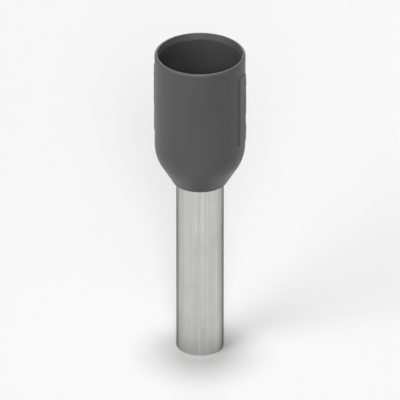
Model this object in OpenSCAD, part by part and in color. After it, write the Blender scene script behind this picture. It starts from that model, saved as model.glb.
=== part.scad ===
// Insulated wire ferrule for fine-stranded wire: a drawn, tin-plated copper barrel with a
// flared mouth, seated in a moulded plastic collar that takes the end of the insulation.
// It stands on the barrel's tip, with the axis along +Z and the origin at the tip's centre.

/* [Barrel] */
// Length of barrel that stands out below the collar
barrel_length = 8; // [6:0.5:18]
// Bore of the barrel, which takes the bare strands
barrel_bore = 1.7; // [1.4:0.05:2]
// Wall of the drawn copper tube
barrel_wall = 0.15; // [0.12:0.01:0.2]
// Radius on the cut edges of the tip
tip_round = 0.04; // [0.02:0.005:0.055]
// Length of straight tube held in the collar's neck
seat_length = 1; // [0.6:0.1:1.2]
// Angle of the flared mouth from the axis
flare_angle = 36; // [25:1:42]
// Radius of the bend between the tube and its flare
flare_bend = 0.3; // [0.15:0.05:0.5]
// Length of the flare's cone, measured along its slope
flare_slope = 0.5; // [0.2:0.05:0.6]

/* [Collar] */
// Length of the collar
collar_length = 6; // [5.5:0.25:9]
// Bore of the collar, which takes the insulation
collar_bore = 3.4; // [3.1:0.05:4]
// Wall round that bore
collar_wall = 0.2; // [0.18:0.01:0.4]
// Wall round the barrel at the collar's lower end
neck_wall = 0.2; // [0.14:0.02:0.3]
// Height of the straight neck at the lower end
neck_height = 0.15; // [0.15:0.05:0.4]
// Radius on the neck's lower edge
neck_round = 0.1; // [0.04:0.02:0.12]
// Angle of the outer shoulder from the axis
shoulder_angle = 33; // [28:1:42]
// Radius where the shoulder runs out into the collar's side
shoulder_round = 1.8; // [0.6:0.2:2.4]
// Angle of the funnel inside the collar, from the axis
funnel_angle = 42; // [30:1:55]
// Radius on the outer edge of the rim
rim_round = 0.08; // [0.04:0.01:0.1]
// Width of the bevel inside the rim, across the wall
rim_bevel = 0.08; // [0.04:0.01:0.1]
// Height of that bevel
rim_bevel_height = 0.25; // [0.1:0.05:0.5]

/* [Fit] */
// Gap all round between the barrel and the collar's neck
neck_gap = 0.01; // [0.005:0.005:0.03]

/* [Web stubs] */
// How far each broken web stands out of the collar's side
stub_out = 0.1; // [0.05:0.01:0.3]
// Thickness of the web
stub_width = 0.6; // [0.3:0.05:1]
// Height of the web
stub_height = 3.2; // [1:0.1:3.5]
// Distance from the rim down to the web
stub_drop = 0.7; // [0.3:0.1:1]

/* [Hidden] */
$fn = 96;
arc_steps = 8;

barrel_r = barrel_bore / 2;
tube_r = barrel_r + barrel_wall;
bend_z = barrel_length + seat_length;
bend_centre = [tube_r + flare_bend, bend_z];

collar_r = collar_bore / 2;
side_r = collar_r + collar_wall;
neck_r = tube_r + neck_wall;
rim_z = barrel_length + collar_length;
neck_bore_r = tube_r + neck_gap;

// The shoulder's arc, kept small enough to leave some cone below it
shoulder_r = min(shoulder_round, 0.9 * (side_r - neck_r) / (1 - cos(shoulder_angle)));
cone_rise = (side_r - neck_r - shoulder_r * (1 - cos(shoulder_angle))) / tan(shoulder_angle);
shoulder_z = barrel_length + neck_height + cone_rise + shoulder_r * sin(shoulder_angle);

// Points of a round stretch of an outline, from one angle to another
function arc(centre, r, from, to) =
    [for (i = [0:arc_steps])
        let (a = from + (to - from) * i / arc_steps) centre + r * [cos(a), sin(a)]];

// One face of the tube's wall through the bend and up the flare, at a distance from the
// bend's centre, from the straight tube to the flare's edge
function flare_face(r) = concat(
    arc(bend_centre, r, 180, 180 - flare_angle),
    [bend_centre + r * [-cos(flare_angle), sin(flare_angle)]
        + flare_slope * [sin(flare_angle), cos(flare_angle)]]);

function reversed(points) = [for (i = [len(points) - 1:-1:0]) points[i]];

flare_outside = flare_face(flare_bend);
flare_edge = flare_outside[len(flare_outside) - 1];
funnel_z = flare_edge.y + (collar_r - flare_edge.x) / tan(funnel_angle);

// Half section of the tube, with its rounded tip and flared mouth
module barrel_section() {
    polygon(concat(
        arc([tube_r - tip_round, tip_round], tip_round, -90, 0),
        flare_outside,
        reversed(flare_face(flare_bend + barrel_wall)),
        arc([barrel_r + tip_round, tip_round], tip_round, 180, 270)));
}

// Half section of the collar before the barrel's seat is taken out of it
module collar_section() {
    polygon(concat(
        [[0, barrel_length]],
        arc([neck_r - neck_round, barrel_length + neck_round], neck_round, -90, 0),
        [[neck_r, barrel_length + neck_height]],
        arc([side_r - shoulder_r, shoulder_z], shoulder_r, -shoulder_angle, 0),
        arc([side_r - rim_round, rim_z - rim_round], rim_round, 0, 90),
        [[collar_r + rim_bevel, rim_z], [collar_r, rim_z - rim_bevel_height],
         [collar_r, funnel_z], flare_edge, [0, flare_edge.y]]));
}

// The space that the barrel takes up in the collar: its outside, and the gap in the neck
module seat_section() {
    polygon(concat([[0, bend_z]], flare_outside, [[0, flare_edge.y]]));
    square([neck_bore_r, bend_z + flare_bend / 2]);
}

// What is left of a moulded web where the ferrule was broken off its strip
module web_stub() {
    high = rim_z - stub_drop;
    low = high - stub_height;
    root_x = side_r - collar_wall / 2;
    tip_x = side_r + stub_out;
    translate([0, stub_width / 2, 0]) rotate([90, 0, 0]) linear_extrude(stub_width)
        polygon([[root_x, low], [tip_x, low + stub_out], [tip_x, high - stub_out],
                 [root_x, high]]);
}

module barrel() {
    color("#c4c5c0") rotate_extrude() barrel_section();
}

module collar() {
    color("#4d4e50") union() {
        rotate_extrude() difference() {
            collar_section();
            seat_section();
        }
        for (turn = [0, 180]) rotate([0, 0, turn]) web_stub();
    }
}

barrel();
collar();
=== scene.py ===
import math

import bpy
import numpy as np
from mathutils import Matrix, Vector


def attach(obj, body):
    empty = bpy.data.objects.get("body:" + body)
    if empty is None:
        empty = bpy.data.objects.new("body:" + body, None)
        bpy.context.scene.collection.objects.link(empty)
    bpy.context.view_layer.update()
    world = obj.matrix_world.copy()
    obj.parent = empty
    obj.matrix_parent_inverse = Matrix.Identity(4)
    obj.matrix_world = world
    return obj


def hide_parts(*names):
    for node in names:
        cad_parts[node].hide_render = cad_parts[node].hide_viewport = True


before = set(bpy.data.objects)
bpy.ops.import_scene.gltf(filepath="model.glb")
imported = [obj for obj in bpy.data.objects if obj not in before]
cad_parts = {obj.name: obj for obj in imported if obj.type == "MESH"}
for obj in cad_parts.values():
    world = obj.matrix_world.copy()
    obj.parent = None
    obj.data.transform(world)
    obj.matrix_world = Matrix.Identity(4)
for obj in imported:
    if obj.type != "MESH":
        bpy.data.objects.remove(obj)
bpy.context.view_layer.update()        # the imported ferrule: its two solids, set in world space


# ------------------------------------------------------------------------------------------
# Barrel. A length of seamless copper tube, drawn to a wall of 0.15 mm, cut square, flared
# at its upper end by a cone-shaped punch, and tin plated all over, edges included. It is
# pushed down through the collar until the flare sits on the funnel inside.
# ------------------------------------------------------------------------------------------

MM = 0.001
BARREL_LENGTH = 8.0       # what stands out below the collar
BARREL_BORE_R = 0.85
BARREL_WALL = 0.15
BARREL_R = BARREL_BORE_R + BARREL_WALL
TIP_ROUND = 0.04          # the cut edges, softened by the plating
SEAT_LENGTH = 1.0         # straight tube inside the collar's neck
FLARE_ANGLE = 36.0        # from the axis
FLARE_BEND = 0.3          # radius between the straight tube and the flare
FLARE_SLOPE = 0.5         # length of the flare's cone along its slope
FLARE_EDGE_ROUND = 0.03


def arc(centre, radius, start, end, steps):
    """Part of a circle in a half section: centre + radius (cos t, sin t), t in degrees."""
    t = np.radians(np.linspace(start, end, steps + 1))
    return np.column_stack([centre[0] + radius * np.cos(t), centre[1] + radius * np.sin(t)])


def joined(*stretches, steps=14):
    """A closed half section from its round stretches, with straight lines between them.

    Each line from p to q is p + (q - p)(1 - cos(pi s)) / 2, so its points crowd towards
    both ends and the shading stays flat between them.
    """
    s = (1 - np.cos(np.pi * np.arange(1, steps) / steps))[:, None] / 2
    rows = []
    for here, after in zip(stretches, stretches[1:] + stretches[:1]):
        p, q = here[-1], after[0]
        rows += [here] if np.allclose(p, q) else [here, p + (q - p) * s]
    section = np.concatenate(rows)
    # Neighbours that fall together become one point
    apart = np.linalg.norm(section - np.roll(section, 1, axis=0), axis=1)
    return section[apart > 1e-5]


def turned(name, section, angles, lift=None):
    """A closed ring: the half section (r, z), in mm, carried round the Z axis.

    A point is ((r + d) cos a, (r + d) sin a, z), where d is lift, a height of its own for
    each point of the grid of section by angle.
    """
    r, z = section[:, :1], section[:, 1:]
    reach = r + (0 if lift is None else lift)
    points = np.stack([reach * np.cos(angles), reach * np.sin(angles),
                       z + 0 * angles], axis=-1).reshape(-1, 3) * MM
    rows, columns = len(section), len(angles)
    i, j = np.meshgrid(np.arange(rows), np.arange(columns), indexing="ij")
    up, on = (i + 1) % rows, (j + 1) % columns
    faces = np.stack([i * columns + j, i * columns + on, up * columns + on,
                      up * columns + j], axis=-1).reshape(-1, 4)
    mesh = bpy.data.meshes.new(name)
    mesh.from_pydata(points.tolist(), [], faces.tolist())
    mesh.polygons.foreach_set("use_smooth", np.ones(len(faces), dtype=bool))
    mesh.update()
    piece = bpy.data.objects.new(name, mesh)
    bpy.context.scene.collection.objects.link(piece)
    return piece


# Directions of length 1: up the flare's slope, and across its wall towards the tube's inside
slope = np.radians(FLARE_ANGLE)
along = np.array([np.sin(slope), np.cos(slope)])
across = np.array([-along[1], along[0]])


def flare_face(radius, steps=10):
    """One face of the tube's wall at the flare: its bend, and the end of the cone above it.

    The bend is an arc round one centre for both faces, from the straight tube to the
    flare's angle. The cone's end is the bend's last point, moved up the slope.
    """
    centre = (BARREL_R + FLARE_BEND, BARREL_LENGTH + SEAT_LENGTH)
    bend = arc(centre, radius, 180, 180 - FLARE_ANGLE, steps)
    return bend, bend[-1] + FLARE_SLOPE * along


outer_bend, outer_edge = flare_face(FLARE_BEND)
inner_bend, inner_edge = flare_face(FLARE_BEND + BARREL_WALL)

# Centres of the rounds on the two corners of the flare's edge
lip_outer = outer_edge - FLARE_EDGE_ROUND * along + FLARE_EDGE_ROUND * across
lip_inner = inner_edge - FLARE_EDGE_ROUND * along - FLARE_EDGE_ROUND * across

barrel_section = joined(
    arc((BARREL_R - TIP_ROUND, TIP_ROUND), TIP_ROUND, -90, 0, 6),
    outer_bend,
    arc(lip_outer, FLARE_EDGE_ROUND, -FLARE_ANGLE, 90 - FLARE_ANGLE, 5),
    arc(lip_inner, FLARE_EDGE_ROUND, 90 - FLARE_ANGLE, 180 - FLARE_ANGLE, 5),
    inner_bend[::-1],
    arc((BARREL_BORE_R + TIP_ROUND, TIP_ROUND), TIP_ROUND, 180, 270, 6),
    steps=20,
)
# A column of points every 2 degrees
barrel = turned("tinned_barrel", barrel_section, np.radians(np.arange(0, 360, 2.0)))


def linear(code):
    """An sRGB hex colour as linear RGBA: c / 12.92, or ((c + 0.055) / 1.055) ** 2.4."""
    c = np.array([int(code[i:i + 2], 16) / 255 for i in (1, 3, 5)])
    c = np.where(c <= 0.04045, c / 12.92, ((c + 0.055) / 1.055) ** 2.4)
    return (*c.tolist(), 1.0)


def add(tree, kind, settings=None, values=None, links=None):
    """Adds a shader node with its settings, its sockets' values, and its incoming links."""
    made = tree.nodes.new(kind)
    for name, value in (settings or {}).items():
        setattr(made, name, value)
    for socket, value in (values or {}).items():
        made.inputs[socket].default_value = value
    for socket, source in (links or {}).items():
        tree.links.new(source, made.inputs[socket])
    return made


def tin_plated_copper():
    """Dull electroplated tin on drawn copper: a soft silvery metal.

    The drawing leaves fine lines along the tube, paler and darker by turns, and the plating
    lies a little cloudy, with a grain of tin crystals.
    """
    material = bpy.data.materials.new("tin_plated_copper")
    material.use_nodes = True
    tree = material.node_tree
    tree.nodes.clear()
    place = add(tree, "ShaderNodeTexCoord").outputs["Object"]
    in_mm = add(tree, "ShaderNodeMapping", {}, {"Scale": (1000, 1000, 1000)}, {"Vector": place})
    # Drawing lines 0.08 mm apart, each some 8 mm long; real ones are finer than shows here
    stretched = add(tree, "ShaderNodeMapping", {}, {"Scale": (1000, 1000, 10)}, {"Vector": place})
    lines = add(tree, "ShaderNodeTexNoise", {}, {"Scale": 13.0, "Detail": 3.0, "Roughness": 0.6},
                {"Vector": stretched.outputs[0]})
    # Clouds in the plating about 1.2 mm across
    clouds = add(tree, "ShaderNodeTexNoise", {}, {"Scale": 0.8, "Detail": 4.0, "Roughness": 0.55},
                 {"Vector": in_mm.outputs[0]})
    # Crystal grain of the tin, in truth some thousandths of a mm, drawn at 0.1 mm
    grain = add(tree, "ShaderNodeTexNoise", {}, {"Scale": 10.0, "Detail": 2.0},
                {"Vector": in_mm.outputs[0]})
    cloudy = add(tree, "ShaderNodeMapRange", {}, {"From Min": 0.35, "From Max": 0.65},
                 {"Value": clouds.outputs[0]})
    drawn_line = add(tree, "ShaderNodeMapRange", {},
                     {"From Min": 0.32, "From Max": 0.68, "To Min": 0.0, "To Max": 0.75},
                     {"Value": lines.outputs[0]})
    plating = add(tree, "ShaderNodeMix", {"data_type": "RGBA"},
                  {6: linear("#c6c6c2"), 7: linear("#d1d2cd")}, {0: cloudy.outputs[0]})
    tone = add(tree, "ShaderNodeMix", {"data_type": "RGBA"}, {7: linear("#b2b3af")},
               {0: drawn_line.outputs[0], 6: plating.outputs[2]})
    rough = add(tree, "ShaderNodeMapRange", {},
                {"From Min": 0.3, "From Max": 0.7, "To Min": 0.25, "To Max": 0.32},
                {"Value": clouds.outputs[0]})
    drawn = add(tree, "ShaderNodeBump", {}, {"Strength": 0.6, "Distance": 0.010 * MM},
                {"Height": lines.outputs[0]})
    surface = add(tree, "ShaderNodeBump", {}, {"Strength": 0.25, "Distance": 0.006 * MM},
                  {"Height": grain.outputs[0], "Normal": drawn.outputs[0]})
    # The dark tint at grazing angles keeps the sides of the tube as dull as its face
    metal = add(tree, "ShaderNodeBsdfPrincipled", {},
                {"Metallic": 1.0, "Specular Tint": linear("#6e6e6c")},
                {"Base Color": tone.outputs[2], "Roughness": rough.outputs[0],
                 "Normal": surface.outputs[0]})
    add(tree, "ShaderNodeOutputMaterial", {}, {}, {"Surface": metal.outputs[0]})
    return material


barrel.data.materials.append(tin_plated_copper())
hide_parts("barrel")
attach(barrel, "root")


# ------------------------------------------------------------------------------------------
# Collar. Injection-moulded polypropylene, dark grey right through. The mould makes it in a
# strip, each collar joined to the next by a thin web at +X and -X; breaking one off leaves
# two short torn stubs, and the mould's two halves leave a fine line above and below them.
# ------------------------------------------------------------------------------------------

COLLAR_LENGTH = 6.0
SOCKET_R = 1.7            # takes the end of the insulation
COLLAR_WALL = 0.2
SIDE_R = SOCKET_R + COLLAR_WALL
NECK_GAP = 0.01           # all round the barrel, in place of the real press fit
NECK_BORE_R = BARREL_R + NECK_GAP
NECK_BORE_RISE = 0.08     # how far the bore runs on above the barrel's straight tube
NECK_WALL = 0.2
NECK_R = BARREL_R + NECK_WALL
NECK_HEIGHT = 0.15
NECK_ROUND = 0.1
LEAD_IN_WIDTH = 0.03      # the bevel at the bore's lower end, where the barrel comes out
LEAD_IN_HEIGHT = 0.04
SHOULDER_ANGLE = 33.0     # from the axis
SHOULDER_ROUND = 1.8      # radius where the shoulder runs out into the side
FUNNEL_ANGLE = 42.0       # from the axis
FUNNEL_BEND = 0.15        # radius between the socket and the funnel
FUNNEL_BEND_TURN = 48     # degrees, from the socket round to the line to the flare's edge
RIM_ROUND = 0.08
RIM_BEVEL = 0.08          # inside the rim, across the wall
RIM_BEVEL_HEIGHT = 0.25
RIM_EDGE_ROUND = 0.015    # between the rim's top and the bevel
BEVEL_BEND = 0.3          # radius between the bevel and the socket
BEVEL_BEND_DROP = 0.06    # from the bevel's lower end down to the end of that bend
RIM_Z = BARREL_LENGTH + COLLAR_LENGTH

STUB_OUT = 0.1            # how far a stub stands out of the collar's side
STUB_WIDTH = 0.6
STUB_DROP = 0.7           # from the rim down to the stub
STUB_HEIGHT = 3.2
STUB_HIGH = RIM_Z - STUB_DROP
STUB_LOW = STUB_HIGH - STUB_HEIGHT
STUB_EDGE = 0.05          # how softly the stub's sides rise
TEAR_WIDTH = 0.20         # from one lump to the next across a torn face
TEAR_LAYERS = 3           # each with finer lumps than the last
TEAR_DEPTH = 0.5          # share of the stub's height that the lumps take
MOULD_LINE = 0.012        # height of the line where the mould's halves meet
MOULD_LINE_WIDTH = 0.05

slant = np.radians(SHOULDER_ANGLE)
cone_rise = (SIDE_R - NECK_R - SHOULDER_ROUND * (1 - np.cos(slant))) / np.tan(slant)
shoulder_z = BARREL_LENGTH + NECK_HEIGHT + cone_rise + SHOULDER_ROUND * np.sin(slant)
funnel_z = outer_edge[1] + (SOCKET_R - outer_edge[0]) / np.tan(np.radians(FUNNEL_ANGLE))

# Up the outside: 90 rows, close enough together on the collar's side to carry the stubs
side_z = np.linspace(shoulder_z + 0.1, RIM_Z - 0.2, 90)
outer_face = [
    arc((NECK_R - NECK_ROUND, BARREL_LENGTH + NECK_ROUND), NECK_ROUND, -90, 0, 8),
    arc((SIDE_R - SHOULDER_ROUND, shoulder_z), SHOULDER_ROUND, -SHOULDER_ANGLE, 0, 24),
    np.column_stack([np.full(len(side_z), SIDE_R), side_z]),
    arc((SIDE_R - RIM_ROUND, RIM_Z - RIM_ROUND), RIM_ROUND, 0, 90, 6),
]

# Down the inside: the rim's edge, the bevel's bend and the funnel's bend. Then the seat, which
# is the outer face of the flare's cone and of its bend's upper half, and the neck's bore
rim_edge_centre = (SOCKET_R + RIM_BEVEL + RIM_EDGE_ROUND, RIM_Z - RIM_EDGE_ROUND)
bevel_bend_centre = (SOCKET_R + BEVEL_BEND, RIM_Z - RIM_BEVEL_HEIGHT - BEVEL_BEND_DROP)
inner_face = [
    arc(rim_edge_centre, RIM_EDGE_ROUND, 90, 150, 4),
    arc(bevel_bend_centre, BEVEL_BEND, 165, 180, 4),
    arc((SOCKET_R - FUNNEL_BEND, funnel_z), FUNNEL_BEND, 0, -FUNNEL_BEND_TURN, 5),
    np.array([outer_edge]),
    outer_bend[::-1][:6],
    np.array([[NECK_BORE_R, BARREL_LENGTH + SEAT_LENGTH + NECK_BORE_RISE],
              [NECK_BORE_R, BARREL_LENGTH + LEAD_IN_HEIGHT],
              [NECK_BORE_R + LEAD_IN_WIDTH, BARREL_LENGTH]]),
]
collar_section = joined(*outer_face, *inner_face, steps=10)

# Columns close together for 16 degrees on both sides of each stub's middle
STUB_SPAN = 16
FINE_STEP = 0.4
PLAIN_STEP = 2.0
half_turn = np.concatenate([np.arange(-STUB_SPAN, STUB_SPAN, FINE_STEP),
                            np.arange(STUB_SPAN, 180 - STUB_SPAN, PLAIN_STEP)])
angles = np.radians(np.concatenate([half_turn, half_turn + 180]))


def step(x, edge, width):
    """Falls from 1 to 0 as x passes edge: 3 s^2 - 2 s^3 of s = 1/2 - (x - edge) / width."""
    s = np.clip(0.5 - (x - edge) / width, 0, 1)
    return s * s * (3 - 2 * s)


def torn(y, z):
    """Height of torn plastic, from 0 to 1: layers of noise over y and z, in mm.

    In a layer each point of a square net has a random height, and the surface runs from one
    to the next by 3 s^2 - 2 s^3. Each layer is half as wide and half as high as the last.
    """
    net = 64
    middle = 20               # the net's row at y = 0
    heights = np.random.default_rng(12).random((net, net))
    total, whole = 0, 0
    for layer in range(TEAR_LAYERS):
        finer = 2 ** layer
        u, v = middle + y * finer / TEAR_WIDTH, z * finer / TEAR_WIDTH
        i, j = np.floor(u).astype(int), np.floor(v).astype(int)
        s, t = (w * w * (3 - 2 * w) for w in (u - i, v - j))
        near, far = (heights[(i + k) % net, j % net] * (1 - t)
                     + heights[(i + k) % net, (j + 1) % net] * t for k in (0, 1))
        total = total + (near * (1 - s) + far * s) / finer
        whole += 1 / finer
    return total / whole


r, z = collar_section[:, :1], collar_section[:, 1:]
side = np.abs(r - SIDE_R) < 1e-6
# The mould's line runs up the neck, the shoulder and the side, and ends below the rim's
# round. Inside, at and just over the seat, the same test lets in a dent as deep as the line,
# which is too slight to see.
outside = (r > NECK_R - 1e-6) & (z > BARREL_LENGTH + NECK_ROUND)
outside &= ~((r < SIDE_R - 1e-6) & (z > shoulder_z + 0.05))
across_stub = SIDE_R * np.sin(angles)
from_line = np.abs(across_stub)
stub = step(from_line, STUB_WIDTH / 2, STUB_EDGE)
stub = stub * step(z, STUB_HIGH, STUB_OUT) * (1 - step(z, STUB_LOW, STUB_OUT)) * side
torn_height = 1 - TEAR_DEPTH * torn(across_stub, z)
line = MOULD_LINE * np.exp(-(from_line / (MOULD_LINE_WIDTH / 2)) ** 2) * outside
lift = np.maximum(stub * STUB_OUT * torn_height, line)
collar = turned("moulded_collar", collar_section, angles, lift)
# How torn the surface is, for the material. The third power keeps it to the stub's broken face
broken = collar.data.attributes.new("torn", "FLOAT", "POINT")
broken.data.foreach_set("value", (stub ** 3 * torn_height).ravel())


def moulded_polypropylene():
    """Polypropylene moulded in a fine spark-eroded tool: dark grey with a soft sheen.

    The surface is even, a little uneven in gloss where the plastic flowed, and paler and
    quite dull where it tore.
    """
    material = bpy.data.materials.new("moulded_polypropylene")
    material.use_nodes = True
    tree = material.node_tree
    tree.nodes.clear()
    place = add(tree, "ShaderNodeTexCoord").outputs["Object"]
    in_mm = add(tree, "ShaderNodeMapping", {}, {"Scale": (1000, 1000, 1000)}, {"Vector": place})
    # Eroded grain, in truth about 0.02 mm, drawn at 0.08 mm so that it shows
    grain = add(tree, "ShaderNodeTexNoise", {}, {"Scale": 12.0, "Detail": 3.0, "Roughness": 0.6},
                {"Vector": in_mm.outputs[0]})
    # Flow of the plastic, in patches some 2 mm across
    flow = add(tree, "ShaderNodeTexNoise", {}, {"Scale": 0.5, "Detail": 3.0, "Distortion": 0.6},
               {"Vector": in_mm.outputs[0]})
    broken_here = add(tree, "ShaderNodeAttribute", {"attribute_name": "torn"})
    body = add(tree, "ShaderNodeMix", {"data_type": "RGBA"},
               {6: linear("#474747"), 7: linear("#525252")}, {0: flow.outputs[0]})
    tone = add(tree, "ShaderNodeMix", {"data_type": "RGBA"}, {7: linear("#808080")},
               {0: broken_here.outputs["Fac"], 6: body.outputs[2]})
    gloss = add(tree, "ShaderNodeMapRange", {},
                {"From Min": 0.3, "From Max": 0.7, "To Min": 0.36, "To Max": 0.48},
                {"Value": flow.outputs[0]})
    rough = add(tree, "ShaderNodeMix", {"data_type": "FLOAT"}, {3: 0.75},
                {0: broken_here.outputs["Fac"], 2: gloss.outputs[0]})
    # The grain stands four times as high where the plastic tore
    relief = add(tree, "ShaderNodeMath", {"operation": "MULTIPLY_ADD"}, {1: 3.0, 2: 1.0},
                 {0: broken_here.outputs["Fac"]})
    height = add(tree, "ShaderNodeMath", {"operation": "MULTIPLY"}, {},
                 {0: grain.outputs[0], 1: relief.outputs[0]})
    surface = add(tree, "ShaderNodeBump", {}, {"Strength": 0.6, "Distance": 0.014 * MM},
                  {"Height": height.outputs[0]})
    # Polypropylene's index is about 1.49, set lower here for the weak sheen of the eroded skin
    plastic = add(tree, "ShaderNodeBsdfPrincipled", {}, {"IOR": 1.42},
                  {"Base Color": tone.outputs[2], "Roughness": rough.outputs[0],
                   "Normal": surface.outputs[0]})
    add(tree, "ShaderNodeOutputMaterial", {}, {}, {"Surface": plastic.outputs[0]})
    return material


collar.data.materials.append(moulded_polypropylene())
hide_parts("collar")
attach(collar, "root")


# ------------------------------------------------------------------------------------------
# Table. A sheet of plain matt white paper board, laid flat, that the ferrule stands on. It is
# wide enough to fill every view.
# ------------------------------------------------------------------------------------------

TABLE_HALF = 600.0 * MM

table_mesh = bpy.data.meshes.new("table")
corners = TABLE_HALF * np.array([[-1, -1, 0], [1, -1, 0], [1, 1, 0], [-1, 1, 0]])
table_mesh.from_pydata(corners.tolist(), [], [[0, 1, 2, 3]])
table = bpy.data.objects.new("table", table_mesh)
bpy.context.scene.collection.objects.link(table)


def seen_ray(tree):
    """1 where a ray is seen directly, in a reflection or through glass, 0 where it only lights.

    A reflection that lights the table counts as light: no diffuse bounce may come before.
    """
    ray = add(tree, "ShaderNodeLightPath").outputs
    mirrored = add(tree, "ShaderNodeMath", {"operation": "MAXIMUM"}, {},
                   {0: ray["Is Glossy Ray"], 1: ray["Is Transmission Ray"]})
    either = add(tree, "ShaderNodeMath", {"operation": "MAXIMUM"}, {},
                 {0: ray["Is Camera Ray"], 1: mirrored.outputs[0]})
    first = add(tree, "ShaderNodeMath", {"operation": "LESS_THAN"}, {1: 0.5},
                {0: ray["Diffuse Depth"]})
    return add(tree, "ShaderNodeMath", {"operation": "MULTIPLY"}, {},
               {0: either.outputs[0], 1: first.outputs[0]}).outputs[0]


def white_sheet():
    """Matt white paper board: it takes a soft shadow, has no gloss and throws little back up."""
    material = bpy.data.materials.new("white_sheet")
    material.use_nodes = True
    tree = material.node_tree
    tree.nodes.clear()
    tone = add(tree, "ShaderNodeMix", {"data_type": "RGBA"},
               {6: linear("#b4b4b4"), 7: linear("#f9f9f9")}, {0: seen_ray(tree)})
    matt = add(tree, "ShaderNodeBsdfDiffuse", {}, {}, {"Color": tone.outputs[2]})
    add(tree, "ShaderNodeOutputMaterial", {}, {}, {"Surface": matt.outputs[0]})
    return material


table.data.materials.append(white_sheet())


# ------------------------------------------------------------------------------------------
# Light. A white room, a soft light overhead, a soft key from the left and a smaller fill from
# the front that both reach into the collar's mouth, a low lamp for the metal, and a weak one
# behind. They are far off, so they light the table evenly.
# ------------------------------------------------------------------------------------------

room = bpy.data.worlds.new("white_room")
room.use_nodes = True
room.node_tree.nodes.clear()
# It shows nearly white, and lights the ferrule only weakly
strength = add(room.node_tree, "ShaderNodeMapRange", {}, {"To Min": 0.08, "To Max": 0.96},
               {"Value": seen_ray(room.node_tree)})
glow = add(room.node_tree, "ShaderNodeBackground", {}, {"Color": linear("#ffffff")},
           {"Strength": strength.outputs[0]})
add(room.node_tree, "ShaderNodeOutputWorld", {}, {}, {"Surface": glow.outputs[0]})
bpy.context.scene.world = room


def towards(azimuth, elevation):
    """A direction from the ferrule: azimuth 0 is in front, at -Y, and 90 is at +X."""
    a, e = math.radians(azimuth), math.radians(elevation)
    return Vector((math.sin(a) * math.cos(e), -math.cos(a) * math.cos(e), math.sin(e)))


def far_light(name, azimuth, elevation, spread, level):
    """A far lamp, spread degrees across. White paper that faces it renders at level."""
    lamp = bpy.data.lights.new(name, "SUN")
    lamp.angle = math.radians(spread)
    lamp.energy = level * math.pi
    source = bpy.data.objects.new(name, lamp)
    source.rotation_mode = "QUATERNION"
    source.rotation_quaternion = towards(azimuth, elevation).to_track_quat("Z", "Y")
    bpy.context.scene.collection.objects.link(source)


far_light("key_light", -32, 29, 40, 0.43)
far_light("fill_light", 23, 31, 16, 0.40)
far_light("top_light", -160, 86.5, 12, 0.45)
far_light("low_light", 40, 7, 16, 0.07)
far_light("back_light", 201, 14, 30, 0.16)


# ------------------------------------------------------------------------------------------
# Camera. From 29.5 degrees above and 21 degrees round to the right, far off with a long
# lens, so that the ferrule's sides stay parallel.
# ------------------------------------------------------------------------------------------

VIEW_AZIMUTH, VIEW_ELEVATION = 21.0, 29.5
VIEW_DISTANCE = 420.0 * MM
VIEW_WIDTH = 16.8 * MM    # what the frame takes in at the ferrule
MIDDLE = Vector((0.0, 0.0, RIM_Z / 2 * MM))

lens = bpy.data.cameras.new("camera")
lens.sensor_width = 36.0
lens.lens = lens.sensor_width * VIEW_DISTANCE / VIEW_WIDTH
lens.clip_start, lens.clip_end = 0.01, 3.0
camera = bpy.data.objects.new("camera", lens)
back = towards(VIEW_AZIMUTH, VIEW_ELEVATION)
camera.location = MIDDLE + back * VIEW_DISTANCE
camera.rotation_mode = "QUATERNION"
camera.rotation_quaternion = (-back).to_track_quat("-Z", "Y")
bpy.context.scene.collection.objects.link(camera)
bpy.context.scene.camera = camera

bpy.context.scene.view_settings.view_transform = "Standard"
